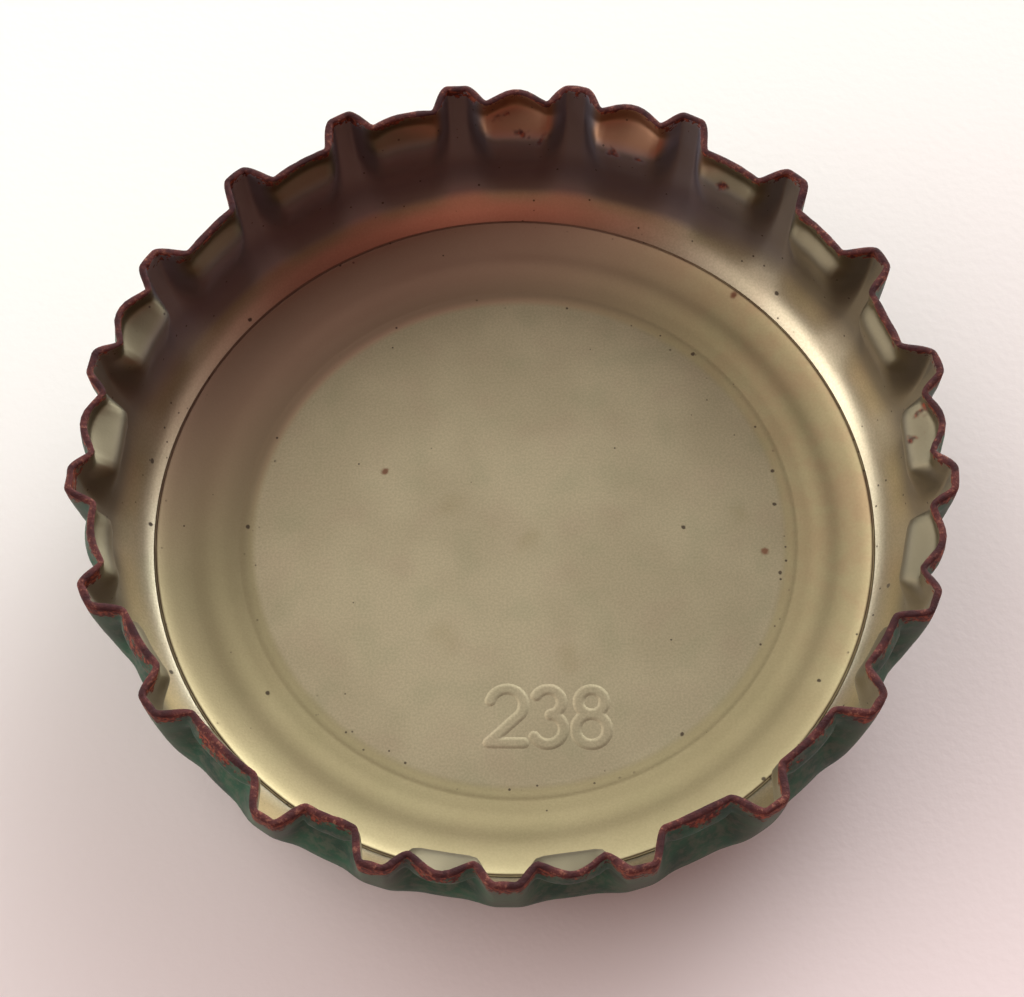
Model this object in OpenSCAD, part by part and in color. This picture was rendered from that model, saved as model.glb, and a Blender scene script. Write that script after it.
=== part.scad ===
// Crimped bottle cap: a pressed sheet-steel shell and the sealing liner moulded inside it.
// The cap lies open side up on its closed panel. Z is its axis, and the panel's outside is at z = 0.
// Tooth 0 points along -Y, and the teeth are counted towards +X. All lengths are in millimetres.

/* [Shell] */
// Height from the outside of the panel to the tips of the teeth
cap_height = 6.8; // [5.8:0.1:8.2]
// Diameter over the tips of the teeth
tip_d = 28.7; // [23.9:0.1:34.5]
// Outside radius of the shoulder that joins the panel to the wall
shoulder_r = 3; // [1.6:0.1:3.4]
// Thickness of the sheet steel
sheet_t = 0.24; // [0.16:0.01:0.32]

/* [Flutes] */
// Number of teeth round the skirt
tooth_count = 21; // [18:1:26]
// How far the tips of the teeth stand outside the plain wall of the cup
crest_out = 0.65; // [0.4:0.05:1]
// Width of a tooth's crest along the rim
crest_w = 0.7; // [0.4:0.05:1.2]
// Width of a tooth at its root along the rim
root_w = 2; // [1.6:0.05:2.6]
// Height at which the flutes start to stand out of the wall
flute_z = 1.5; // [1:0.1:3]
// How far the rim is pulled out of round towards +Y and -Y
oval_out = 0.12; // [0:0.02:0.3]
// Angle by which the teeth on the +X and -X sides are crowded towards +Y
crowd = 0.5; // [0:0.1:2]

/* [Crimp] */
// Distance from the rim down to the waist, which grips under the ring of the bottle's neck
waist_down = 1.6; // [1.2:0.05:2]
// Depth of the waist, measured inwards from the plain wall
waist_in = 0.5; // [0.2:0.02:0.6]
// Distance from the rim down to the belly between the waist and the rim
belly_down = 0.8; // [0.5:0.05:1]
// Depth of the belly, measured inwards from the plain wall
belly_in = 0.1; // [0:0.02:0.3]
// Depth of the rim between two teeth, measured inwards from the plain wall
rim_in = 0.3; // [0.1:0.02:0.5]
// How much lower the rim stands between two teeth than on a crest
rim_drop = 0.1; // [0:0.05:0.5]

/* [Thread marks] */
// Number of thread starts on the bottle's neck, which push the skirt out where they leave it
lead_count = 4; // [1:1:6]
// Angle of the first thread start, turned from +X towards +Y
lead_angle = -95; // [-180:1:180]
// How far the whole rim is pushed out in the two spaces beside a thread start
lead_lift = 0.3; // [0:0.02:0.4]
// How far the bump in the middle of such a space stands out further
lead_bump = 0.42; // [0:0.02:0.5]

/* [Liner] */
// Distance from the outside of the plain wall in to the liner's edge, which lies on the shoulder
edge_in = 1.3; // [0.9:0.05:1.9]
// Thickness of the liner at its edge
edge_t = 0.15; // [0.12:0.01:0.5]
// Height of the upright step at the liner's edge
edge_step = 0.04; // [0.02:0.01:0.08]
// Width of the thin foot outside that step, which runs out on the metal
foot_w = 0.12; // [0.06:0.02:0.2]
// Thickness of that foot where it ends
foot_t = 0.02; // [0.01:0.01:0.05]
// Thickness of the thin film in the middle of the liner
film_t = 0.14; // [0.1:0.02:0.4]
// Width of the liner's thick border, from its edge in to the flat middle
border_w = 3.05; // [2.7:0.05:3.5]
// Width of the low step between the flat middle and the border
step_w = 0.3; // [0.2:0.05:0.5]
// Height of that low step
step_h = 0.04; // [0.02:0.01:0.1]
// Share of the border's climb that rises evenly, while the rest steepens towards the edge
climb_even = 0.7; // [0.2:0.02:0.9]
// Distance from the liner's edge in to the middle of the sealing ridge
ridge_in = 1.7; // [1.2:0.05:2]
// Width of the sealing ridge to each side of its middle
ridge_w = 0.6; // [0.4:0.05:0.7]
// Height of the sealing ridge above the border
ridge_h = 0.03; // [0:0.01:0.1]
// Distance from the liner's edge in to the track that the bottle's lip pressed into the border
track_in = 1.05; // [0.6:0.05:1.2]
// Width of that track to each side of its middle
track_w = 0.6; // [0.4:0.05:0.6]
// Depth of that track below the border
track_depth = 0.04; // [0:0.01:0.1]
// Space that the liner keeps from the curved metal of the shoulder
liner_gap = 0.02; // [0.01:0.01:0.1]

/* [Hidden] */

// The sheet is described by its middle surface, and its two faces stand half a sheet from that.
half_t = sheet_t / 2;
wall_r = tip_d / 2 - crest_out;
flat_r = wall_r - shoulder_r;
bend_r = shoulder_r - half_t;
waist_z = cap_height - waist_down;
belly_z = cap_height - belly_down;

// Angles round the cap
pitch = 360 / tooth_count;
crest_half = crest_w / (PI * tip_d) * 180;
root_half = root_w / (PI * tip_d) * 180;
lead_pitch = 360 / lead_count;

// Angles across one tooth and the space after it, close together where the flank is steep
flank_steps = [0, 0.4, 1];
space_steps = [0.25, 0.5, 0.75];
tooth_angles = concat(
    [for (i = [len(flank_steps) - 1:-1:0]) -flank_angle(flank_steps[i])],
    [for (f = flank_steps) flank_angle(f)],
    [for (f = space_steps) root_half + f * (pitch - 2 * root_half)]
);
angles = [for (i = [0:tooth_count - 1], a = tooth_angles) i * pitch + a - 90];
columns = len(angles);

// The plain cup before fluting, as [radius, height] along the middle of the sheet from the panel's
// flat edge, round the shoulder and up the wall to the rim
shoulder_steps = 5;
wall_heights = [
    (2 * shoulder_r + waist_z) / 3,
    (shoulder_r + 2 * waist_z) / 3,
    waist_z,
    (waist_z + belly_z) / 2,
    belly_z,
    (belly_z + cap_height) / 2,
    cap_height
];
cup = concat(
    [for (i = [0:shoulder_steps]) let (a = 90 * i / shoulder_steps)
        [flat_r + bend_r * sin(a), shoulder_r - bend_r * cos(a)]],
    [for (z = wall_heights) [flat_r + bend_r, z]]
);
rings = len(cup);

function flank_angle(f) = crest_half + f * (root_half - crest_half);

// A soft step from 0 to 1, and a soft change between two values over a stretch of height
function soft(x) = let (c = min(1, max(0, x))) c * c * (3 - 2 * c);
function change(z, z0, z1, v0, v1) = v0 + (v1 - v0) * soft((z - z0) / (z1 - z0));

// The tooth nearest to an angle, and the signed angle from its middle
function tooth_at(angle) = round((angle + 90) / pitch);
function from_tooth(angle) = angle + 90 - pitch * tooth_at(angle);

// 1 on a crest and 0 in the space between two teeth
function crest(angle) = 1 - soft((abs(from_tooth(angle)) - crest_half) / (root_half - crest_half));

// 1 in the two spaces that lie nearest to a thread start, and 0 in the others
function space_middle(angle) = pitch * (floor((angle + 90) / pitch) + 0.5) - 90;
function from_lead(angle) = angle - lead_angle - lead_pitch * round((angle - lead_angle) / lead_pitch);
function near_lead(angle) = abs(from_lead(space_middle(angle))) <= pitch ? 1 : 0;
function bump(angle) = pow(cos(90 * min(1, abs(angle - space_middle(angle)) / (pitch / 2 - root_half))), 2);

// How far the space between two teeth stands inside the plain wall at a height
function space_in(z) =
    z < waist_z ? change(z, shoulder_r, waist_z, 0, waist_in) :
    z < belly_z ? change(z, waist_z, belly_z, waist_in, belly_in) :
    change(z, belly_z, cap_height, belly_in, rim_in);

// How far a crest stands outside the plain wall at a height: it climbs fast at first, then levels
function crest_at(z) = crest_out * sin(90 * max(0, z - flute_z) / (cap_height - flute_z));

// How far the sheet is pulled out of round at a height and an angle
function oval_at(z, angle) =
    oval_out * pow(sin(angle), 2) * soft((z - shoulder_r) / (cap_height - shoulder_r));

// How far a thread start pushes the sheet out: the lift grows up to the belly, the bump to the rim
function lead_at(z, angle) = near_lead(angle) * (
    lead_lift * soft((z - waist_z) / (belly_z - waist_z)) +
    lead_bump * bump(angle) * soft((z - waist_z) / (cap_height - waist_z))
);

// Middle of the sheet at a ring of the cup and an even angle, as [x, y, z] with the teeth crowded
function middle(ring, angle) = let (
    r0 = cup[ring][0],
    z0 = cup[ring][1],
    w = crest(angle),
    fluted = r0 + w * crest_at(z0) + (1 - w) * (lead_at(z0, angle) - space_in(z0)),
    r = fluted + oval_at(z0, angle),
    z = z0 - (1 - w) * rim_drop * soft((z0 - waist_z) / (cap_height - waist_z)),
    turned = angle + crowd * cos(angle)
) [r * cos(turned), r * sin(turned), z];

// Outward direction of the sheet, flat down on the panel and level along the cut rim
look = 0.5;
function slope(ring, angle) = cross(
    middle(ring, angle + look) - middle(ring, angle - look),
    middle(min(ring + 1, rings - 1), angle) - middle(max(ring - 1, 0), angle)
);
function outward(ring, angle) = let (
    n = ring == 0 ? [0, 0, -1] : slope(ring, angle),
    level = ring == rings - 1 ? [n[0], n[1], 0] : n
) level / norm(level);

// The shell's inner face on the shoulder, which runs straight from ring to ring, and its height there
inside_r = shoulder_r - sheet_t;
inside = [for (i = [0:shoulder_steps]) let (a = 90 * i / shoulder_steps)
    [flat_r + inside_r * sin(a), shoulder_r - inside_r * cos(a)]];
function metal_z(r) = lookup(r, inside);

module shell() {
    faces_out = [for (k = [0:rings - 1], a = angles) middle(k, a) + half_t * outward(k, a)];
    faces_in = [for (k = [0:rings - 1], a = angles) middle(k, a) - half_t * outward(k, a)];
    inner = rings * columns;
    outer_middle = 2 * inner;
    inner_middle = outer_middle + 1;
    rim = (rings - 1) * columns;
    color("darkkhaki") polyhedron(
        points = concat(faces_out, faces_in, [[0, 0, 0], [0, 0, sheet_t]]),
        faces = concat(
            [for (k = [0:rings - 2], c = [0:columns - 1]) each strip(k * columns, c, false)],
            [for (k = [0:rings - 2], c = [0:columns - 1]) each strip(inner + k * columns, c, true)],
            [for (c = [0:columns - 1]) let (d = (c + 1) % columns) each [
                [rim + c, inner + rim + c, rim + d],
                [rim + d, inner + rim + c, inner + rim + d],
                [outer_middle, c, d],
                [inner_middle, inner + d, inner + c]
            ]]
        )
    );
}

// Two triangles between a ring of points and the next one, turned over for the inner face
function strip(first, c, turned) = let (
    d = (c + 1) % columns,
    a = first + c,
    b = first + d,
    up_a = a + columns,
    up_b = b + columns
) turned ? [[a, b, up_b], [a, up_b, up_a]] : [[a, up_b, b], [a, up_a, up_b]];

// Height of the liner's top over its border: a low step up from the film, then a climb that steepens
// towards the edge, with the sealing ridge standing on it and the lip's track pressed into it
function hump(r, middle, half) = pow(cos(90 * min(1, abs(r - middle) / half)), 2);
function climb(t) = climb_even * t + (1 - climb_even) * pow(t, 4);

module liner() {
    edge_r = wall_r - edge_in;
    foot_r = edge_r + foot_w;
    disc_r = edge_r - border_w;
    step_r = disc_r + step_w;
    film_z = sheet_t + film_t;
    edge_z = metal_z(edge_r) + edge_t;
    rise = edge_z - film_z - step_h;
    under = concat(
        [[0, sheet_t], [flat_r, sheet_t]],
        [for (p = inside) if (p[0] > flat_r && p[0] < foot_r) [p[0], p[1] + liner_gap]],
        [[foot_r, metal_z(foot_r) + liner_gap]]
    );
    border = [for (f = [1:-0.025:0])
        let (
            r = step_r + f * (edge_r - step_r),
            ridge = ridge_h * hump(r, edge_r - ridge_in, ridge_w),
            track = track_depth * hump(r, edge_r - track_in, track_w)
        )
        [r, film_z + step_h + rise * climb(f) + ridge - track]];
    step = [for (f = [0.75:-0.25:0]) [disc_r + f * step_w, film_z + step_h * soft(f)]];
    color("beige") rotate_extrude($fn = 180) polygon(concat(
        under,
        [[foot_r, metal_z(foot_r) + liner_gap + foot_t], [edge_r, edge_z - edge_step]],
        border,
        step,
        [[0, film_z]]
    ));
}

shell();
liner();
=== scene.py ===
"""A crimped bottle cap lying open side up: its steel shell, the liner moulded inside it, and their finishes.

Z is the cap's axis and the closed panel lies at z = 0. Tooth 0 points along -Y and the teeth are
counted towards +X. Lengths are worked out in millimetres and put into the meshes in metres.
"""

import math

import bpy
import numpy as np
from mathutils import Matrix, Vector


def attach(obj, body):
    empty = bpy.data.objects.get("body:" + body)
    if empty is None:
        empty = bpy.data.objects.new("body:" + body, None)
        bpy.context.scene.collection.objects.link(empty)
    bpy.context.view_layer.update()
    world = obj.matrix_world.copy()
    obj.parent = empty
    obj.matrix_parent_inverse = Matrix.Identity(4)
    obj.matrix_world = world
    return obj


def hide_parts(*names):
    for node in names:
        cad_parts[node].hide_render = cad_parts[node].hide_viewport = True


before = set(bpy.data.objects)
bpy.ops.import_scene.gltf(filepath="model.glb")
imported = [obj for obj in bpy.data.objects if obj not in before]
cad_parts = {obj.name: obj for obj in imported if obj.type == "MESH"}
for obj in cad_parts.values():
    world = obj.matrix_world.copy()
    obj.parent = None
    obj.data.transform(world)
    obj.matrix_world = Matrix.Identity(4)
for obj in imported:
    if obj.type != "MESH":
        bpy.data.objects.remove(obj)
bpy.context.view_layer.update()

MM = 0.001

# Shell, in millimetres and degrees
CAP_HEIGHT = 6.8
TIP_D = 28.7  # over the tips of the teeth
CREST_OUT = 0.65  # how far a tooth stands out of the wall at the rim
SHOULDER_R = 3.0
SHEET_T = 0.24
TEETH = 21
CREST_W = 0.6  # width of a tooth's crest, along the rim
ROOT_W = 2.1  # width of a tooth at its root, along the rim
FLUTE_Z = 1.5  # where the teeth run out into the shoulder
WAIST_DOWN = 1.6  # from the rim down to the waist of the spaces between the teeth
WAIST_IN = 0.5
BELLY_DOWN = 0.8  # from the rim down to the belly of those spaces
BELLY_IN = 0.1
RIM_IN = 0.3
RIM_DROP = 0.1  # how much lower the rim lies in a space than on a tooth
LEADS = 4  # thread starts of the bottle that pressed the skirt outwards
LEAD_ANGLE = -95
LEAD_LIFT = 0.3
LEAD_BUMP = 0.42
LEAD_ROUND = 1.3  # power of the cosine that rounds a thread start's bump; less is broader
OVAL_OUT = 0.12  # how much further the rim stands out in front and behind than at the sides
CROWD = 0.5  # how far, in degrees, the teeth are pushed towards the back
EDGE_ROUND = 0.45  # how far the sheared edge bulges, as a share of half the sheet
FOOT_WIDER = 0.5  # how much wider a tooth's flanks are at its foot than at the rim, as a share
PILLOW_W = 0.85  # how much of the space between two teeth its belly fills, as a share
PILLOW_STEEP = 1.7  # how steeply the belly falls off towards the flanks
EASE_ROUNDS = 8  # how often the sheet's normals are averaged with their neighbours round the cap
RIM_WANDER = 0.04  # half of how far the rim wanders in and down from its true line
BURR = 0.3  # how much the sheet's thickness varies at the sheared edge, as a share
PANEL_RINGS = (0.25, 0.5, 0.75, 0.93)  # mesh rings on the panel, as shares of its flat's radius
EDGE_TURNS = (60, 30, 0, -30, -60)  # angles of the mesh rows that round the sheared edge

# Damage from the bottle opener and the crimper: a tooth and how far it is bent along the rim, in degrees
BENT_ALONG = (
    ((1, -0.8), (2, -0.4), (3, 0.9), (4, -0.5), (14, 0.5), (15, 0.6))
    + ((16, 0.8), (17, 0.2), (18, 0.5), (19, 4.3), (20, 1.2))
)
# A place counted in teeth, a half being the space between two, and how far the rim stands out there
BENT_OUT = ((3, -0.1), (6, 0.1), (7, 0.1), (11.5, 0.28), (14.5, 0.1), (16.5, 0.38), (18, -0.2))
BENT_OUT_REACH = 0.6  # how many teeth away such a dent ends

# Liner, in millimetres
EDGE_IN = 1.3  # from the shell's wall in to the liner's outer edge
EDGE_T = 0.11  # height of that edge over the metal
EDGE_STEP = 0.02  # from the edge's top down to the mesh row outside it
EDGE_LIP = 0.04  # radius of its rounded lip
FOOT_W = 0.05  # how far the liner's foot runs out past that edge, on the metal
FOOT_T = 0.03
LINER_GAP = 0.02  # between the liner and the shoulder of the shell
FILM_T = 0.14
BORDER_W = 3.2
STEP_W = 0.5
STEP_H = 0.04
CLIMB_EVEN = 0.75  # share of the border's climb that is even; the rest comes near the edge
RIDGE_IN = 1.7
RIDGE_W = 0.6
RIDGE_H = 0.012
TRACK_FROM_EDGE = 1.05
TRACK_W = 0.6
TRACK_IN = 0.008
DISC_OFF = (0.16, -0.05)  # how far the flat middle was moulded off the axis
FILM_RINGS = (0.97, 0.85, 0.7, 0.5, 0.3, 0.12)  # mesh rings on the film, as shares of its radius
UNDER_RINGS = (4, 9)  # mesh rings on the hidden flat face, by radius
LINER_COLUMNS = 360

# Raised mould number on the liner's film, in millimetres
NUMBER_X = -0.75
NUMBER_Y = -7.75
NUMBER_TALL = 1.9
NUMBER_PITCH = 1.42
NUMBER_STROKE = 0.3
NUMBER_OUT = 0.023
NUMBER_FALL = 0.16  # width of the soft slope beside a stroke, of which NUMBER_SPREAD lies outside it
NUMBER_SPREAD = 0.1
NUMBER_SUNK = 0.005  # how far the slab between the strokes lies under the film's face
NUMBER_FOOT = 0.05
NUMBER_GRID = 0.04
NUMBER_ROOM = (-0.3, 4.4, 2.3)  # the slab's left and near end, right end and far end

# Marks of age, as places in millimetres
RUST_BLISTERS = (
    ((13.2, 1.0, 5.5), (13.5, 1.9, 5.9), (12.7, 4.5, 6.1), (7.2, 11.0, 5.5), (4.3, 12.3, 5.1))
    + ((3.4, 12.5, 5.1), (0.8, 13.1, 5.2), (0.2, 13.3, 5.4), (-0.5, 13.7, 5.8), (-3.8, 12.7, 6.3))
)
SHOULDER_SPECKS = (
    ((-12.6, -0.1, 1.0), (-12.7, 2.2, 1.3), (-11.4, -5.6, 1.1))
    + ((12.7, -2.4, 1.4), (9.4, 9.0, 1.5), (-9.7, 8.1, 1.0))
)
LINER_STAINS = ((0.6, -0.5, 0.4), (7.8, 0.7, 0.4), (1.8, -4.7, 0.4), (-2.1, 0.9, 0.4), (-2.3, -4.1, 0.4))
LINER_SPECKS = (
    ((5.9, 0.2, 0.4), (9.1, 1.1, 0.4), (9.1, 2.4, 0.4), (9.2, -1.5, 0.4), (5.7, -7.4, 0.4))
    + ((8.3, -9.1, 0.9), (6.4, 7.1, 0.4), (-8.2, -6.1, 0.5), (-9.3, 0.1, 0.4), (10.3, -5.6, 0.7))
)
LINER_RUST_SPECKS = ((8.7, -0.7, 0.4), (-4.6, 2.3, 0.4), (7.9, 9.3, 0.9))

# Floor and camera, in millimetres and degrees
FLOOR_HALF = 2500
FLOOR_Z = -0.01
CAMERA_AWAY = 71
CAMERA_TURN = 2.45
CAMERA_RISE = 64.43
CAMERA_ROLL = -1.89
CAMERA_AIM = (-0.03, 0.01, 3.0)
CAMERA_LENS = 73.97

PITCH = 360 / TEETH
WALL_R = TIP_D / 2 - CREST_OUT
FLAT_R = WALL_R - SHOULDER_R
WAIST_Z = CAP_HEIGHT - WAIST_DOWN
BELLY_Z = CAP_HEIGHT - BELLY_DOWN
CREST_HALF = CREST_W / (math.pi * TIP_D) * 180
ROOT_HALF = ROOT_W / (math.pi * TIP_D) * 180
EDGE_R = WALL_R - EDGE_IN
DISC_R = EDGE_R - BORDER_W
FILM_Z = SHEET_T + FILM_T
INSIDE_R = SHOULDER_R - SHEET_T


def soft(x):
    """3x^2 - 2x^3 of x clipped to 0..1: a step that starts and ends level."""
    x = np.clip(x, 0, 1)
    return x * x * (3 - 2 * x)


def change(z, z0, z1, v0, v1):
    """v0 below z0, v1 above z1, and a soft step between them."""
    return v0 + (v1 - v0) * soft((z - z0) / (z1 - z0))


def metal_z(r):
    """Height of the shell's inner face on the shoulder: a circle of INSIDE_R round (FLAT_R, SHOULDER_R)."""
    run = np.clip(r - FLAT_R, 0, INSIDE_R)
    return SHOULDER_R - np.sqrt(INSIDE_R**2 - run**2)


# ---------------------------------------------------------------- meshes


def grid_faces(rows, columns, closed=True):
    """Quads between neighbouring points of a grid; closed joins its last column to the first."""
    r = np.arange(rows - 1)[:, None]
    c = np.arange(columns if closed else columns - 1)[None, :]
    d = (c + 1) % columns
    a = r * columns + c
    b = r * columns + d
    return np.stack([a, b, b + columns, a + columns], -1).reshape(-1, 4)


def fan_faces(ring, middle, turned):
    """Triangles from a ring of point numbers to one middle point."""
    after = np.roll(ring, -1)
    pair = (after, ring) if turned else (ring, after)
    return np.stack([*pair, np.full(len(ring), middle)], -1)


def end_fans(rows, columns):
    """Triangles that close a turned grid's first and last rows to the two points that follow the grid."""
    first = np.arange(columns)
    last = (rows - 1) * columns + first
    middle = rows * columns
    return np.concatenate([fan_faces(first, middle, True), fan_faces(last, middle + 1, False)])


def make_piece(name, points, quads, triangles, finishes, zones=None, marks=None):
    """A mesh object at the origin from points in millimetres. Zones give each face its finish's number,
    quads first, and marks are named numbers for each point, which finishes read."""
    loops = np.concatenate([quads.reshape(-1), triangles.reshape(-1)])
    totals = np.concatenate([np.full(len(quads), 4), np.full(len(triangles), 3)])
    mesh = bpy.data.meshes.new(name)
    mesh.vertices.add(len(points))
    mesh.vertices.foreach_set("co", (points * MM).astype("f").ravel())
    mesh.loops.add(len(loops))
    mesh.loops.foreach_set("vertex_index", loops.astype("i"))
    mesh.polygons.add(len(totals))
    starts = np.concatenate([[0], np.cumsum(totals)[:-1]])
    mesh.polygons.foreach_set("loop_start", starts.astype("i"))
    mesh.polygons.foreach_set("loop_total", totals.astype("i"))
    mesh.polygons.foreach_set("use_smooth", np.ones(len(totals), bool))
    if zones is not None:
        mesh.polygons.foreach_set("material_index", zones.astype("i"))
    mesh.update(calc_edges=True)
    for mark, values in (marks or {}).items():
        layer = mesh.attributes.new(mark, "FLOAT", "POINT")
        layer.data.foreach_set("value", np.asarray(values, "f").ravel())
    piece = bpy.data.objects.new(name, mesh)
    bpy.context.collection.objects.link(piece)
    for finish in finishes:
        mesh.materials.append(finish)
    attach(piece, "root")
    return piece


# ---------------------------------------------------------------- shell


def wander(angle, seed, waves, size):
    """A smooth closed wobble round the cap of at most size: a sum of sines with random phases."""
    rng = np.random.default_rng(seed)
    total = np.zeros_like(angle)
    weight = 0
    for n in waves:
        total = total + np.sin(np.radians(n * angle) + rng.uniform(0, 2 * math.pi)) / n**0.5
        weight += 1 / n**0.5
    return size * total / weight


def bent_share(z):
    """How much of a bend is felt at a height: a soft step from 0 where the teeth begin to 1 at the rim."""
    return soft((z - FLUTE_Z) / (CAP_HEIGHT - FLUTE_Z))


def tooth_columns():
    """Angles of the mesh columns: over one tooth and its space they lie closest on the flanks."""
    crest = np.linspace(-CREST_HALF, CREST_HALF, 8, endpoint=False)
    fall = np.linspace(CREST_HALF, ROOT_HALF, 10, endpoint=False)
    space = np.linspace(ROOT_HALF, PITCH - ROOT_HALF, 9, endpoint=False)
    rise = np.linspace(PITCH - ROOT_HALF, PITCH - CREST_HALF, 10, endpoint=False)
    one = np.concatenate([crest, fall, space, rise])
    return (np.arange(TEETH)[:, None] * PITCH + one[None, :] - 90).ravel()


def cup_rows():
    """The plain cup's section as (radius, height): round the shoulder's arc, then up the wall to the rim."""
    bend = SHOULDER_R - SHEET_T / 2
    arc = np.radians(np.linspace(0, 90, 15))
    wall = np.linspace(SHOULDER_R, CAP_HEIGHT - EDGE_ROUND * SHEET_T / 2, 38)[1:]
    r = np.concatenate([FLAT_R + bend * np.sin(arc), np.full(len(wall), FLAT_R + bend)])
    z = np.concatenate([SHOULDER_R - bend * np.cos(arc), wall])
    return r, z


def crest_share(angle, z=CAP_HEIGHT):
    """1 on a tooth's crest, 0 in the space beside it, and a soft flank between that is wider at the foot."""
    off = np.abs(angle + 90 - PITCH * np.round((angle + 90) / PITCH))
    root = ROOT_HALF * (1 + FOOT_WIDER * soft((CAP_HEIGHT - z) / (CAP_HEIGHT - FLUTE_Z)))
    return 1 - soft((off - CREST_HALF) / (root - CREST_HALF))


def space_in(z, angle):
    """How far the space between two teeth stands in: from the wall in to the waist, out to the belly, in to
    the rim. The belly is a pillow, soft(steep (1 - t)), with t from 0 in the middle of the space to 1 at the
    pillow's side. Beside it the flank runs straight from the waist to the rim."""
    across = np.abs((angle + 90) / PITCH - np.floor((angle + 90) / PITCH) - 0.5) * 2
    pillow = soft(PILLOW_STEEP * (1 - across / PILLOW_W))
    flank_in = WAIST_IN + (RIM_IN - WAIST_IN) * (BELLY_Z - WAIST_Z) / (CAP_HEIGHT - WAIST_Z)
    belly = flank_in + (BELLY_IN - flank_in) * pillow
    low = change(z, SHOULDER_R, WAIST_Z, 0, WAIST_IN)
    middle = change(z, WAIST_Z, BELLY_Z, WAIST_IN, belly)
    high = change(z, BELLY_Z, CAP_HEIGHT, belly, RIM_IN)
    return np.where(z < WAIST_Z, low, np.where(z < BELLY_Z, middle, high))


def lead_out(z, angle):
    """How far a thread start pushes out the two spaces beside it: a lift from the waist to the belly, and a
    bump that grows to the rim and is a cosine of the way across, raised to LEAD_ROUND."""
    middle = PITCH * (np.floor((angle + 90) / PITCH) + 0.5) - 90
    turn = 360 / LEADS
    off = middle - LEAD_ANGLE - turn * np.round((middle - LEAD_ANGLE) / turn)
    near = np.abs(off) <= PITCH
    across = np.minimum(1, np.abs(angle - middle) / (PITCH / 2 - ROOT_HALF))
    bump = np.cos(np.radians(90 * across)) ** LEAD_ROUND
    lift = LEAD_LIFT * soft((z - WAIST_Z) / (BELLY_Z - WAIST_Z))
    return near * (lift + LEAD_BUMP * bump * soft((z - WAIST_Z) / (CAP_HEIGHT - WAIST_Z)))


def bends(angle, places, reach):
    """A cosine squared hump of each size at its place, which ends at reach teeth from it."""
    total = 0
    for tooth, size in places:
        off = np.abs((angle + 90 - PITCH * tooth + 180) % 360 - 180)
        total = total + size * np.cos(np.minimum(1, off / PITCH / reach) * math.pi / 2) ** 2
    return total


def sheet_middle(r0, z0, angle):
    """Middle of the sheet from the plain cup's radius and height. A crest stands out by a sine of the height,
    the space beside it by lead_out less space_in. Bends, dents and the rim's wander grow with the height."""
    w = crest_share(angle, z0)
    climb = np.clip((z0 - FLUTE_Z) / (CAP_HEIGHT - FLUTE_Z), 0, 1)
    oval = OVAL_OUT * np.sin(np.radians(angle)) ** 2 * soft((z0 - SHOULDER_R) / (CAP_HEIGHT - SHOULDER_R))
    crest = w * CREST_OUT * np.sin(climb * math.pi / 2)
    space = (1 - w) * (lead_out(z0, angle) - space_in(z0, angle))
    bent = bent_share(z0)
    r = r0 + crest + space + oval + bent * bends(angle, BENT_OUT, BENT_OUT_REACH)
    r = r - bent * (RIM_WANDER + wander(angle, 4, range(16, 60, 5), RIM_WANDER))
    z = z0 - (1 - w) * RIM_DROP * soft((z0 - WAIST_Z) / (CAP_HEIGHT - WAIST_Z))
    z = z - bent**3 * (RIM_WANDER + wander(angle, 5, range(12, 90, 6), RIM_WANDER))
    a = np.radians(angle + CROWD * np.cos(np.radians(angle)) + bent * bends(angle, BENT_ALONG, 1))
    return np.stack([r * np.cos(a), r * np.sin(a), z], -1)


def sheet_normals(middle):
    """Outward normals of the grid, from the cross product of its steps round the cap and up the wall.
    They are eased along each row, so the faces don't fold over in a tight corner."""
    around = np.roll(middle, -1, 1) - np.roll(middle, 1, 1)
    up = np.gradient(middle, axis=0)
    n = np.cross(around, up)
    n[0] = (0, 0, -1)
    n[-1, :, 2] = 0
    n = n / np.linalg.norm(n, axis=-1, keepdims=True)
    for _ in range(EASE_ROUNDS):
        n = (np.roll(n, 1, 1) + 2 * n + np.roll(n, -1, 1)) / 4
    return n


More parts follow.
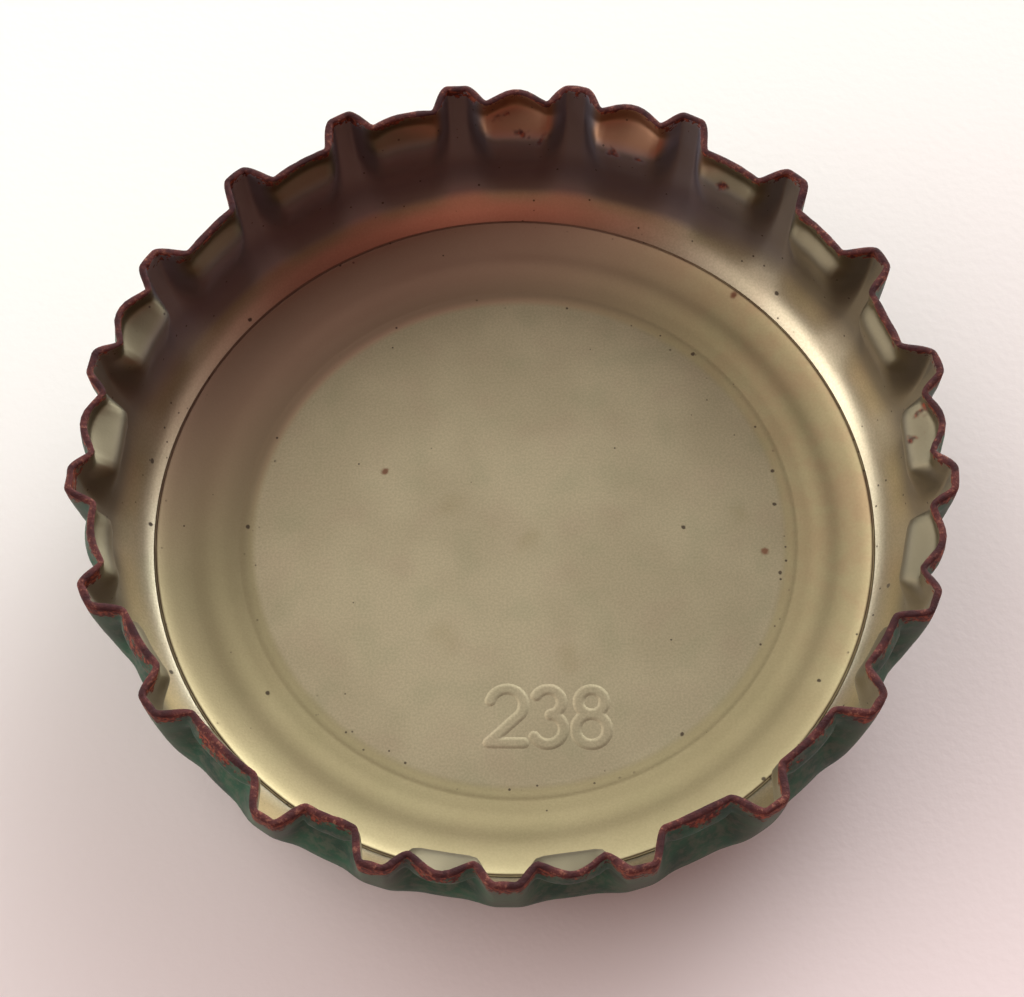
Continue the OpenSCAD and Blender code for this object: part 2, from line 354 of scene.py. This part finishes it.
def build_shell(finishes):
    """One closed skin: the outer face up to the rim, over the sheared edge and down the inner face to the
    panel. Each face is the middle surface plus or minus half the sheet along its normal."""
    r0, z0 = cup_rows()
    angle = tooth_columns()
    middle = sheet_middle(r0[:, None], z0[:, None], angle[None, :] + 0 * r0[:, None])
    normal = sheet_normals(middle)
    bent = bent_share(z0)[:, None, None]
    half = SHEET_T / 2 * (1 + bent**6 * wander(angle, 6, range(30, 160, 9), BURR)[None, :, None])
    outer = middle + half * normal
    inner = middle - half * normal
    over = np.radians(EDGE_TURNS)[:, None, None]
    round_over = np.sin(over) * normal[-1] + EDGE_ROUND * np.cos(over) * np.array([0, 0, 1])
    edge = middle[-1] + half[-1] * round_over
    flat = np.array(PANEL_RINGS)[:, None, None]
    panel_out = outer[0] * np.array([1, 1, 0]) * flat
    panel_in = inner[0] * np.array([1, 1, 0]) * flat[::-1] + np.array([0, 0, SHEET_T])
    rows = np.concatenate([panel_out, outer, edge, inner[::-1], panel_in])
    count, columns = rows.shape[:2]
    points = np.concatenate([rows.reshape(-1, 3), [[0, 0, 0], [0, 0, SHEET_T]]])
    quads = grid_faces(count, columns)
    triangles = end_fans(count, columns)
    row_zone = np.zeros(count - 1)
    top = len(panel_out) + len(outer) - 1
    row_zone[top : top + len(edge) + 1] = 1
    row_zone[top + len(edge) + 1 :] = 2
    zones = np.concatenate([np.repeat(row_zone, columns), np.zeros(columns), np.full(columns, 2)])
    down = (CAP_HEIGHT - rows[:, :, 2]).ravel()
    crest = np.repeat(crest_share(angle)[None, :], count, 0).ravel()
    marks = {"from_rim": np.append(down, [CAP_HEIGHT] * 2), "crest": np.append(crest, [0, 0])}
    return make_piece("shell_skin", points, quads, triangles, finishes, zones, marks)


# ---------------------------------------------------------------- liner


def hump(r, middle, half):
    """A cosine squared hump: 1 at its middle radius and 0 from half a width away."""
    return np.cos(np.minimum(1, np.abs(r - middle) / half) * math.pi / 2) ** 2


def liner_top(r):
    """Height over the border: a soft step at the film, a climb, a sealing ridge and the bottle lip's track.
    The climb is e t + (1 - e) t^6, with t from 0 at the step to 1 at the edge and e its even share."""
    start = DISC_R + STEP_W
    top = metal_z(EDGE_R) + EDGE_T
    t = np.clip((r - start) / (EDGE_R - start), 0, 1)
    climb = (top - FILM_Z - STEP_H) * (CLIMB_EVEN * t + (1 - CLIMB_EVEN) * t**6)
    ridge = RIDGE_H * hump(r, EDGE_R - RIDGE_IN, RIDGE_W)
    track = TRACK_IN * hump(r, EDGE_R - TRACK_FROM_EDGE, TRACK_W)
    return FILM_Z + STEP_H * soft((r - DISC_R) / STEP_W) + climb + ridge - track


def liner_section():
    """The liner's top as (radius, height): its rounded edge, then inwards the border, step and film."""
    turn = np.radians(np.linspace(0, 75, 6))
    lip_r = EDGE_R - EDGE_LIP
    edge_z = liner_top(lip_r)
    edge = np.stack([lip_r + EDGE_LIP * np.cos(turn), edge_z - EDGE_LIP + EDGE_LIP * np.sin(turn)], -1)
    foot_r = EDGE_R + FOOT_W
    side = np.array([[foot_r, metal_z(foot_r) + FOOT_T], [EDGE_R + FOOT_W / 5, edge_z - EDGE_STEP]])
    climb = np.linspace(lip_r, DISC_R + STEP_W, 56)
    step = np.linspace(DISC_R + STEP_W, DISC_R, 10)[1:]
    border_r = np.concatenate([climb, step])
    border = np.stack([border_r, liner_top(border_r)], -1)
    film_r = DISC_R * np.array(FILM_RINGS)
    film = np.stack([film_r, np.full(len(film_r), FILM_Z)], -1)
    return np.concatenate([side, edge, border, film])


def liner_under():
    """The liner's hidden face as (radius, height): flat on the panel, then LINER_GAP above the shoulder."""
    r = np.concatenate([UNDER_RINGS, np.linspace(FLAT_R, EDGE_R + FOOT_W, 8)])
    z = np.where(r > FLAT_R, metal_z(r) + LINER_GAP, SHEET_T)
    return np.stack([r, z], -1)


def build_liner(finish):
    """The section turned round the axis and closed at both middles. The top moves off the axis by DISC_OFF
    times a soft share, from 0 at the edge to 1 at the flat middle."""
    under = liner_under()
    section = np.concatenate([under, liner_section()])
    a = np.radians(np.arange(LINER_COLUMNS) * 360 / LINER_COLUMNS)
    on_top = (np.arange(len(section)) >= len(under))[:, None]
    share = soft((EDGE_R - section[:, :1]) / BORDER_W) * on_top
    x = section[:, :1] * np.cos(a) + DISC_OFF[0] * share
    y = section[:, :1] * np.sin(a) + DISC_OFF[1] * share
    rows = np.stack([x, y, section[:, 1:] + 0 * a], -1)
    points = np.concatenate([rows.reshape(-1, 3), [[0, 0, SHEET_T], [*DISC_OFF, FILM_Z]]])
    quads = grid_faces(len(rows), LINER_COLUMNS)
    triangles = end_fans(len(rows), LINER_COLUMNS)
    return make_piece("liner_moulding", points, quads, triangles, [finish])


def number_strokes():
    """Centre lines of a plain 2, 3 and 8, each in a box 0.62 wide and 1 high."""

    def arc(x, y, radius, start, end):
        turn = np.radians(np.linspace(start, end, 25))
        return np.stack([x + radius * np.cos(turn), y + radius * np.sin(turn)], -1)

    two = [np.concatenate([arc(0.31, 0.7, 0.3, 165, -35), [[0, 0], [0.62, 0]]])]
    three = [np.concatenate([arc(0.29, 0.76, 0.24, 150, -80), arc(0.29, 0.26, 0.28, 80, -150)])]
    eight = [arc(0.31, 0.77, 0.23, 0, 360), arc(0.31, 0.26, 0.28, 0, 360)]
    return two, three, eight


def distance_to_line(x, y, start, end):
    """Distance of each point from a straight line's nearest point, which is a share t of the way along it."""
    dx = end[0] - start[0]
    dy = end[1] - start[1]
    t = np.clip(((x - start[0]) * dx + (y - start[1]) * dy) / (dx * dx + dy * dy), 0, 1)
    return np.hypot(x - start[0] - t * dx, y - start[1] - t * dy)


def build_number(finish):
    """Raised mould number on the film: a slab whose top rises softly with nearness to the strokes."""
    low_end, right_end, far_end = NUMBER_ROOM
    across, along = np.meshgrid(
        np.arange(low_end, right_end, NUMBER_GRID), np.arange(low_end, far_end, NUMBER_GRID)
    )
    nearest = np.full(across.shape, right_end)
    for place, digit in enumerate(number_strokes()):
        for stroke in digit:
            path = stroke * NUMBER_TALL + np.array([place * NUMBER_PITCH, 0])
            for start, end in zip(path[:-1], path[1:]):
                nearest = np.minimum(nearest, distance_to_line(across, along, start, end))
    rise = soft((NUMBER_STROKE / 2 + NUMBER_SPREAD - nearest) / NUMBER_FALL)
    height = NUMBER_OUT * rise - NUMBER_SUNK
    top = np.stack([across + NUMBER_X, along + NUMBER_Y, FILM_Z + height], -1)
    count, columns = across.shape
    number = np.arange(count * columns).reshape(count, columns)
    ring = np.concatenate([number[0], number[1:-1, -1], number[-1, ::-1], number[-2:0:-1, 0]])
    base = top.reshape(-1, 3)[ring] * np.array([1, 1, 0]) + np.array([0, 0, FILM_Z - NUMBER_FOOT])
    low = count * columns + np.arange(len(ring))
    sides = np.stack([ring, low, np.roll(low, -1), np.roll(ring, -1)], -1)
    points = np.concatenate([top.reshape(-1, 3), base, base.mean(0)[None, :]])
    quads = np.concatenate([grid_faces(count, columns, closed=False), sides])
    triangles = fan_faces(low, len(points) - 1, True)
    return make_piece("mould_number", points, quads, triangles, [finish])


# ---------------------------------------------------------------- shader language


class Signal:
    """One output socket. Arithmetic on it adds Math nodes to its tree."""

    def __init__(self, recipe, socket):
        self.recipe = recipe
        self.socket = socket

    def math(self, operation, *values, clamp=False):
        """A Math node of an operation on values or signals."""
        sockets = dict(enumerate(values))
        return self.recipe.add("ShaderNodeMath", {"operation": operation, "use_clamp": clamp}, sockets)

    def __add__(self, other):
        return self.math("ADD", self, other)

    def __sub__(self, other):
        return self.math("SUBTRACT", self, other)

    def __mul__(self, other):
        return self.math("MULTIPLY", self, other)

    def __truediv__(self, other):
        return self.math("DIVIDE", self, other)

    def __pow__(self, other):
        return self.math("POWER", self, other)

    def __rsub__(self, other):
        return self.math("SUBTRACT", other, self)

    def __rtruediv__(self, other):
        return self.math("DIVIDE", other, self)

    __radd__ = __add__
    __rmul__ = __mul__

    def clip(self):
        """The signal held between 0 and 1."""
        return self.math("ADD", self, 0, clamp=True)

    def exp(self):
        """e to the power of the signal."""
        return self.math("EXPONENT", self)

    def absolute(self):
        """The signal without its sign."""
        return self.math("ABSOLUTE", self)

    def least(self, other):
        """The smaller of two."""
        return self.math("MINIMUM", self, other)

    def most(self, other):
        """The larger of two, which joins two masks."""
        return self.math("MAXIMUM", self, other)

    def step(self, low, high):
        """0 at low, 1 at high and a soft step between, which may run downwards."""
        return self.recipe.add(
            "ShaderNodeMapRange",
            {"interpolation_type": "SMOOTHSTEP"},
            {"Value": self, "From Min": low, "From Max": high},
        )


class Recipe:
    """A node tree being written, with one method that makes every node."""

    def __init__(self, tree):
        self.tree = tree
        tree.nodes.clear()

    def add(self, kind, settings=None, inputs=None, output=0):
        """Makes a node, applies its settings, then sets or links its sockets, and returns one output."""
        node = self.tree.nodes.new(kind)
        for name, value in (settings or {}).items():
            setattr(node, name, value)
        for name, value in (inputs or {}).items():
            socket = node.inputs[name]
            if isinstance(value, Signal):
                self.tree.links.new(value.socket, socket)
            else:
                socket.default_value = value
        return Signal(self, node.outputs[output]) if len(node.outputs) else node

    def mix(self, share, low, high, blend="MIX"):
        """A colour mix: low where share is 0 and high where it is 1."""
        settings = {"data_type": "RGBA", "blend_type": blend}
        return self.add("ShaderNodeMix", settings, {0: share, 6: low, 7: high}, output=2)

    def noise(self, place, scale, detail=3, rough=0.5, seed=0.0):
        """Noise from 0 to 1 of a place in millimetres; seed moves to another part of it."""
        if seed:
            shift = (seed * 37, seed * 19, seed)
            place = self.add("ShaderNodeVectorMath", {"operation": "ADD"}, {0: place, 1: shift})
        inputs = {"Vector": place, "Scale": scale, "Detail": detail, "Roughness": rough}
        return self.add("ShaderNodeTexNoise", inputs=inputs)

    def place(self):
        """Object coordinates in millimetres."""
        there = self.add("ShaderNodeTexCoord", output="Object")
        return self.add("ShaderNodeVectorMath", {"operation": "SCALE"}, {0: there, "Scale": 1000.0})

    def radius(self, place, centre):
        """Distance of a place from an upright axis through a centre (x, y)."""
        x = self.dot(place, (1.0, 0.0, 0.0)) - centre[0]
        y = self.dot(place, (0.0, 1.0, 0.0)) - centre[1]
        return (x * x + y * y) ** 0.5

    def dot(self, vector, direction):
        """How far a vector reaches in a direction."""
        settings = {"operation": "DOT_PRODUCT"}
        return self.add("ShaderNodeVectorMath", settings, {0: vector, 1: direction}, output="Value")

    def moved(self, place, scale, size):
        """The place pushed about by noise, up to half of size each way, so what is drawn there is ragged."""
        inputs = {"Vector": place, "Scale": scale, "Detail": 1.0}
        push = self.add("ShaderNodeTexNoise", inputs=inputs, output="Color")
        push = self.add("ShaderNodeVectorMath", {"operation": "SUBTRACT"}, {0: push, 1: (0.5, 0.5, 0.5)})
        push = self.add("ShaderNodeVectorMath", {"operation": "SCALE"}, {0: push, "Scale": size})
        return self.add("ShaderNodeVectorMath", {"operation": "ADD"}, {0: place, 1: push})

    def spots(self, place, size, centres, blur=0.3):
        """1 within size of each centre, in millimetres, and 0 away from them; blur is the edge's softness."""
        nearest = 9.0
        for centre in centres:
            inputs = {0: place, 1: centre}
            away = self.add("ShaderNodeVectorMath", {"operation": "DISTANCE"}, inputs, output="Value")
            nearest = away.least(nearest)
        return nearest.step(size * (1 + blur), size * (1 - blur))

    def specks(self, place, scale, size, share):
        """Fine round specks in a share of the cells of a Voronoi pattern, scale cells to a millimetre."""
        inputs = {"Vector": place, "Scale": scale}
        away = self.add("ShaderNodeTexVoronoi", inputs=inputs)
        pick = self.add("ShaderNodeTexVoronoi", inputs=inputs, output="Color")
        chosen = pick.math("GREATER_THAN", pick, 1 - share)
        return (away / scale).step(size, size * 0.5) * chosen

    def mark(self, name):
        """The number that the mesh holds under a name at each point."""
        return self.add("ShaderNodeAttribute", {"attribute_name": name}, output="Fac")

    def bump(self, height, strength, distance):
        """A normal tilted by a height signal, with a distance in millimetres for a height of 1."""
        inputs = {"Height": height, "Strength": strength, "Distance": distance * MM}
        return self.add("ShaderNodeBump", inputs=inputs)

    def surface(self, **sockets):
        """A Principled shader joined to the output; its sockets' names are written with underscores."""
        named = {name.replace("_", " "): value for name, value in sockets.items()}
        shader = self.add("ShaderNodeBsdfPrincipled", {"distribution": "GGX"}, named)
        self.add("ShaderNodeOutputMaterial", inputs={"Surface": shader})


def new_finish(name):
    """An empty material and the recipe that writes it."""
    material = bpy.data.materials.new(name)
    material.use_nodes = True
    return material, Recipe(material.node_tree)


def colour(r, g, b):
    """A colour written in the usual 0 to 255 steps, as linear light."""
    levels = np.array([r, g, b]) / 255
    linear = np.where(levels <= 0.04045, levels / 12.92, ((levels + 0.055) / 1.055) ** 2.4)
    return (*linear.tolist(), 1.0)


# ---------------------------------------------------------------- finishes


def lacquer_tone(r, p, low, high):
    """The lacquer's colour: two near tones in soft clouds, a pink or green cast in patches, fine grain."""
    cloud = r.noise(p, 0.25, 2, 0.6, 1.0)
    cast = r.noise(p, 0.6, 1, 0.6, 8.0)
    grain = r.noise(p, 13, 1, 0.6, 2.0)
    tone = r.mix(cloud.step(0.35, 0.65), low, high)
    tone = r.mix(cast.step(0.52, 0.72) * 0.12, tone, colour(184, 152, 132))
    tone = r.mix(cast.step(0.48, 0.28) * 0.15, tone, colour(156, 156, 122))
    shade = grain.step(0.25, 0.75) * 0.16 + 0.92
    return r.mix(1.0, tone, shade, "MULTIPLY")


def rust_tone(r, p):
    """Rust from dark brown to orange-brown in crumbs."""
    return r.mix(r.noise(p, 7, 2, 0.6, 5.0).step(0.4, 0.65), colour(66, 30, 28), colour(134, 66, 46))


def rust_patches(r, p):
    """Where rust has crept further from the cut edge: broad soft patches, the same inside and outside."""
    return r.noise(p, 0.8, 2, 0.6, 12.0).step(0.48, 0.66)


def lacquer_tone_with_painted_light(r, p, down, skirt):
    """The lacquer's colour with painted light on it: the inner skirt greyed and darkened as painted shade,
    the bellies in the spaces between the teeth dulled to khaki and, on the far side, tan as painted
    reflection, a painted warm reflection on the far shoulder with painted shade beside it, and a painted cool
    reflection below."""
    tone = lacquer_tone(r, p, colour(180, 166, 141), colour(189, 175, 151))
    # Painted shade: the inner skirt is greyed and darkened, standing in for the hollow's shade and dark
    # reflections.
    tone = r.mix(skirt * 0.85, tone, colour(122, 115, 109))
    belly = (1 - r.mark("crest")).step(0.4, 1) * down.step(1.9, 1.2)
    away = r.dot(p, (-0.25, 0.97, 0.0)) + r.noise(p, 0.5, 1)
    tan = r.dot(p, (0.15, 0.99, 0.0)).step(12.0, 13.0)
    # Painted reflection: the bellies' glints are dulled to khaki, and tinted tan on the far side for a warm
    # reflection.
    tone = r.mix(belly * 0.8, tone, r.mix(tan, colour(110, 99, 76), colour(172, 124, 94)))
    left = r.dot(p, (-1.0, 0.0, 0.0)).step(1.5, 8.0)
    # Painted reflection: a warm reddish band on the far shoulder, darker towards the left.
    painted_warm_reflection = r.mix(left, colour(208, 156, 134), colour(134, 92, 80))
    tone = r.mix(away.step(9.5, 12.5) * (1 - skirt) * 0.55, tone, painted_warm_reflection)
    aside = r.dot(p, (-0.75, 0.66, 0.0)).step(9.5, 12.5)
    # Painted shade: darker brown on the shoulder at the far left.
    tone = r.mix(aside * (1 - skirt) * 0.45, tone, colour(112, 90, 80))
    # Painted reflection: a cool purple-grey on the far skirt.
    tone = r.mix(away.step(6, 11) * skirt * (1 - belly) * 0.8, tone, colour(166, 160, 174))
    foot = down.step(5.2, 4.8) * down.step(3.0, 4.2)
    # Painted reflection: the same purple-grey on the far wall's lower part.
    return r.mix(away.step(8, 11) * foot * 0.75, tone, colour(126, 114, 122))


def gold_lacquer():
    """Satin gold-brown lacquer inside the shell, with rust at the cut edge, blisters and dark specks."""
    material, r = new_finish("gold_lacquer")
    p = r.place()
    down = r.mark("from_rim")
    grain = r.noise(p, 14, 1, 0.6)
    skirt = down.step(5.3, 4.0)
    tone = lacquer_tone_with_painted_light(r, p, down, skirt)
    ragged = r.noise(p, 5, 2, 0.7, 3.0) - 0.5
    edge = 1 - (down - 0.12 - rust_patches(r, p) * 0.4 + ragged * 1.3).step(0, 0.15)
    rust = edge.most(r.spots(r.moved(p, 2.5, 0.9), 0.2, RUST_BLISTERS, 0.6))
    dark = r.specks(p, 1.8, 0.055, 0.7).most(r.spots(r.moved(p, 6, 0.08), 0.08, SHOULDER_SPECKS))
    tone = r.mix(dark * 0.85, tone, colour(52, 36, 28))
    r.surface(
        Base_Color=r.mix(rust, tone, rust_tone(r, p)),
        Metallic=1 - rust.most(dark),
        Specular_IOR_Level=0.2,
        Roughness=(grain - 0.5) * 0.1 + 0.33 + skirt * 0.2 + rust * 0.3,
        Normal=r.bump(grain, 0.13, 0.02),
    )
    return material


def green_enamel():
    """Dark green enamel on the outside, dusty and grimy on the crests, and chipped to rust by the rim."""
    material, r = new_finish("green_enamel")
    p = r.place()
    down = r.mark("from_rim")
    crest = r.mark("crest")
    cloud = r.noise(p, 0.8, 3)
    base = r.mix(cloud.step(0.3, 0.7), colour(20, 52, 38), colour(34, 80, 56))
    dust = r.noise(p, 2.5, 3, 0.7, 6.0).step(0.5, 0.8) * crest * 0.3
    base = r.mix(dust, base, colour(92, 98, 84))
    ragged = r.noise(p, 5, 2, 0.7, 2.0) - 0.5
    chips = r.specks(r.moved(p, 5, 0.3), 1.1, 0.16, 0.2) * down.step(2.5, 0.5)
    creep = rust_patches(r, p) * 0.4 + crest * 0.35
    bare = (1 - (down - 0.15 - creep + ragged * 1.6).step(0, 0.2)).most(chips)
    grime = r.noise(p, 3, 3, 0.7, 9.0).step(0.4, 0.65).most(crest * 0.9)
    base = r.mix(grime * 0.4, base, colour(98, 92, 80))
    peel = r.noise(p, 3, 2)
    r.surface(
        Base_Color=r.mix(bare, base, rust_tone(r, p)),
        Metallic=0.0,
        Specular_IOR_Level=0.2,
        Roughness=bare * 0.2 + dust * 0.3 + cloud * 0.1 + 0.5,
        Normal=r.bump(peel + ragged * bare * 4, 0.2, 0.03),
    )
    return material


def rusty_edge():
    """The sheared edge of the sheet: dark red-brown rust with orange crumbs."""
    material, r = new_finish("rusty_edge")
    p = r.place()
    cloud = r.noise(p, 1.6, 3, 0.6)
    crumbs = r.noise(p, 8, 3, 0.7)
    base = r.mix(cloud.step(0.35, 0.65), colour(56, 26, 28), colour(88, 42, 40))
    base = r.mix(crumbs.step(0.5, 0.66) * cloud.step(0.45, 0.6) * 0.6, base, colour(156, 100, 80))
    r.surface(
        Base_Color=base,
        Metallic=0.0,
        Specular_IOR_Level=0.2,
        Roughness=0.75,
        Normal=r.bump(crumbs, 0.8, 0.06),
    )
    return material


def liner_tone_with_painted_light(r, p, off, thick, uneven):
    """The lacquer as it shows through the liner, tinted where the border is thick: yellow-brown all round and
    browner in patches on the right. Painted light is added on the border: a reddish painted reflection on the
    far side, painted shade on the left and a darker ring of painted shade at the back of the step."""
    tone = lacquer_tone(r, p, colour(189, 173, 142), colour(199, 183, 151))
    tone = r.mix(thick * 0.6, tone, colour(168, 151, 108))
    far = r.dot(p, (-0.5, 0.87, 0.0)).step(3.0, 11.0)
    # Painted reflection: the thick border is reddened on the far side.
    tone = r.mix(thick * far * 0.6, tone, colour(196, 142, 130))
    left = r.dot(p, (-1.0, 0.1, 0.0)).step(7.0, 12.0)
    # Painted shade: the thick border is darker on the left.
    tone = r.mix(thick * left * 0.35, tone, colour(126, 108, 88))
    right = r.dot(p, (0.95, 0.3, 0.0)).step(6.0, 12.0)
    tone = r.mix(thick * right * uneven.step(0.35, 0.65) * 0.3, tone, colour(176, 130, 104))
    # Painted shade: a darker ring just outside the film's step, on the back side only.
    ring = off.step(0.1, 0.4) * off.step(1.6, 0.4) * r.dot(p, (-0.6, 0.8, 0.0)).step(0.0, 8.0)
    return r.mix(ring * 0.4, tone, colour(112, 96, 76))


def liner_finish():
    """Clear plastic over the lacquer, which reads as satin metal: a thin dark line of dirt at its edge, dark
    specks that gather along the line and the step, a few rusty ones, and faint stains."""
    material, r = new_finish("liner_finish")
    p = r.place()
    uneven = r.noise(p, 0.9, 3, 0.6, 4.0)
    grain = r.noise(p, 14, 1, 0.6)
    from_edge = r.radius(p, (0.0, 0.0)) - EDGE_R
    off = r.radius(p, DISC_OFF) - DISC_R
    thick = off.step(-0.1, 0.2)
    tone = liner_tone_with_painted_light(r, p, off, thick, uneven)
    line = 1 - ((from_edge + 0.01).absolute() - (uneven - 0.4) * 0.06).step(0.0, 0.045)
    stains = r.spots(r.moved(p, 0.8, 1.2), 0.38, LINER_STAINS, 0.9)
    tone = r.mix(stains * 0.15, tone, colour(140, 116, 70))
    gather = (off - 0.1).absolute().step(0.35, 0.1).most(from_edge.absolute().step(0.3, 0.1))
    dark = r.spots(r.moved(p, 5, 0.08), 0.075, LINER_SPECKS)
    dark = dark.most(r.specks(p, 1.5, 0.045, 0.3)).most(r.specks(p, 2.4, 0.06, 0.8) * gather)
    brown = r.spots(r.moved(p, 5, 0.1), 0.13, LINER_RUST_SPECKS, 0.5)
    tone = r.mix(brown * 0.8, tone, colour(120, 62, 36))
    tone = r.mix(dark * 0.85, tone, colour(54, 38, 30))
    dirt = line.most(dark).most(brown)
    r.surface(
        Base_Color=r.mix(line * 0.6, tone, colour(76, 52, 42)),
        Metallic=1 - dirt,
        Specular_IOR_Level=0.2,
        Roughness=(grain - 0.5) * 0.1 + 0.47 - thick * 0.1,
        Normal=r.bump(grain, 0.08, 0.02),
    )
    return material


# ---------------------------------------------------------------- floor, light and camera


def build_floor():
    """A plain pale sheet under the cap with a faint tooth, painted slightly pinker towards the front for the
    warm light there.
    """
    material, r = new_finish("pale_floor")
    p = r.place()
    # Painted light: the floor's colour warms to pink towards the front, standing in for warm light and
    # coloured shadow.
    across = r.dot(p, (0.4, -0.92, 0.0)) / 50 + 0.5
    fibre = r.noise(p, 3, 2)
    base = r.mix(across.clip(), colour(255, 253, 248), colour(246, 226, 227))
    r.surface(Base_Color=base, Roughness=0.9, Normal=r.bump(fibre, 0.15, 0.05))
    corners = np.array([[-1, -1], [1, -1], [1, 1], [-1, 1]]) * FLOOR_HALF
    points = np.column_stack([corners, np.full(4, FLOOR_Z)]) * MM
    mesh = bpy.data.meshes.new("floor")
    mesh.from_pydata(points.tolist(), [], [[0, 1, 2, 3]])
    mesh.materials.append(material)
    floor = bpy.data.objects.new("floor", mesh)
    bpy.context.collection.objects.link(floor)


def direction(azimuth, elevation):
    """Unit vector towards a light: azimuth turns from +X to +Y, elevation is above the floor."""
    a = math.radians(azimuth)
    e = math.radians(elevation)
    return (math.cos(a) * math.cos(e), math.sin(a) * math.cos(e), math.sin(e))


def build_sky():
    """Soft studio light: a dark room with broad bright areas, each a lobe s exp(k (d.v - 1)) round its
    direction v. An area is its azimuth, its elevation, its tightness k and its strength s."""
    areas = {
        # cool light low behind: the main light, a little to the right, and some from the left
        (0.94, 1.03, 1.04): ((60, 4, 14, 15.3), (45, 20, 14, 1.15), (150, 4, 14, 0.8), (135, 20, 14, 2.7)),
        # plain light: low from the left, and higher behind
        (1.0, 1.01, 0.97): ((180, 4, 14, 3.9), (186, 20, 20, 2.4), (75, 20, 14, 0.7), (72, 38, 14, 1.1)),
        # slightly warm light: high at the left, lower in front of that, and low from the right
        (1.06, 1.0, 0.94): (
            ((167, 57, 14, 1.25), (144, 38, 14, 0.65), (207, 10, 14, 0.9), (10, 12, 14, 1.1))
        ),
        # a weak, warm and very broad fill in front
        (1.0, 0.44, 0.36): ((280, 8, 4, 0.38), (330, 12, 4, 0.34), (240, 12, 4, 0.1)),
    }
    world = bpy.data.worlds.new("studio")
    bpy.context.scene.world = world
    world.use_nodes = True
    r = Recipe(world.node_tree)
    d = r.add("ShaderNodeTexCoord", output="Generated")
    light = (0.0, 0.0, 0.0)
    for tint, lobes in areas.items():
        total = 0.0
        for azimuth, elevation, tightness, strength in lobes:
            towards = tuple(tightness * v for v in direction(azimuth, elevation))
            total = (r.dot(d, towards) - (tightness - math.log(strength))).exp() + total
        part = r.add("ShaderNodeVectorMath", {"operation": "SCALE"}, {0: tint, "Scale": total})
        light = r.add("ShaderNodeVectorMath", {"operation": "ADD"}, {0: part, 1: light})
    sky = r.add("ShaderNodeBackground", inputs={"Color": light, "Strength": 1.0})
    r.add("ShaderNodeOutputWorld", inputs={"Surface": sky})


def build_camera():
    """A camera in front of the cap that looks down at it from CAMERA_RISE, turned and rolled a little."""
    turn, rise, roll = map(math.radians, (CAMERA_TURN, CAMERA_RISE, CAMERA_ROLL))
    back = Vector((math.sin(turn) * math.cos(rise), -math.cos(turn) * math.cos(rise), math.sin(rise)))
    right = Vector((math.cos(turn), math.sin(turn), 0))
    up = back.cross(right)
    side = right * math.cos(roll) + up * math.sin(roll)
    top = up * math.cos(roll) - right * math.sin(roll)
    data = bpy.data.cameras.new("camera")
    data.sensor_width = 36
    data.lens = CAMERA_LENS
    data.clip_start = 0.001
    data.clip_end = 10
    camera = bpy.data.objects.new("camera", data)
    bpy.context.collection.objects.link(camera)
    place = (Vector(CAMERA_AIM) + back * CAMERA_AWAY) * MM
    camera.matrix_world = Matrix.Translation(place) @ Matrix((side, top, back)).transposed().to_4x4()
    bpy.context.scene.camera = camera


# ---------------------------------------------------------------- build

shell = build_shell([green_enamel(), rusty_edge(), gold_lacquer()])
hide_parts("shell")
plastic = liner_finish()
liner = build_liner(plastic)
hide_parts("liner")
build_number(plastic)
build_floor()
build_sky()
build_camera()
bpy.context.scene.view_settings.view_transform = "Standard"
